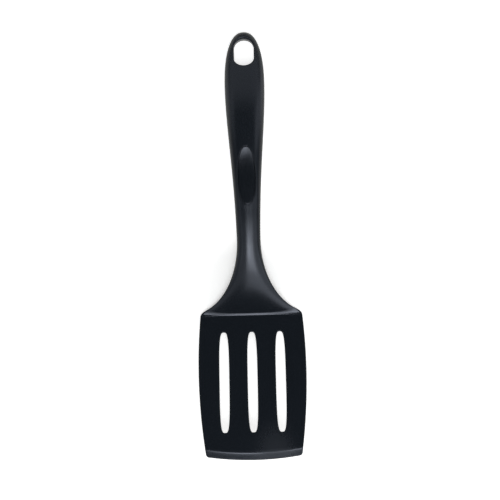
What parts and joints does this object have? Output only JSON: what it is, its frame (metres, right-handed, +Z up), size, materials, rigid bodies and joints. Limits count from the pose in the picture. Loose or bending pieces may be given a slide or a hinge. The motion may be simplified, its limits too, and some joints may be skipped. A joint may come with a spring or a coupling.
{
  "type": "slotted turner",
  "caption": "Slotted kitchen turner: bowed thin-lipped blade, flared cranked neck, and a hollow shell grip with an inlaid thumb rest and a hanging hole.",
  "frame": {"origin": "on the table under the middle of the tool, which lies on the heel of its blade and on its tail", "axes": "+Y along the tool from the lip of the blade to the tail of the grip, +X across the blade, +Z up, out of the upper face"},
  "size_m": [0.0812, 0.3198, 0.0275],
  "materials": {
    "blade_nylon": "satin moulded black nylon",
    "grip_nylon": "matt moulded black nylon, fine grain",
    "pad_rubber": "soft matt black"
  },
  "bodies": {
    "root": {"head": "blade_nylon", "grip_front_shell": "grip_nylon", "grip_back_shell": "grip_nylon", "thumb_pad": "pad_rubber"}
  },
  "joints": []
}
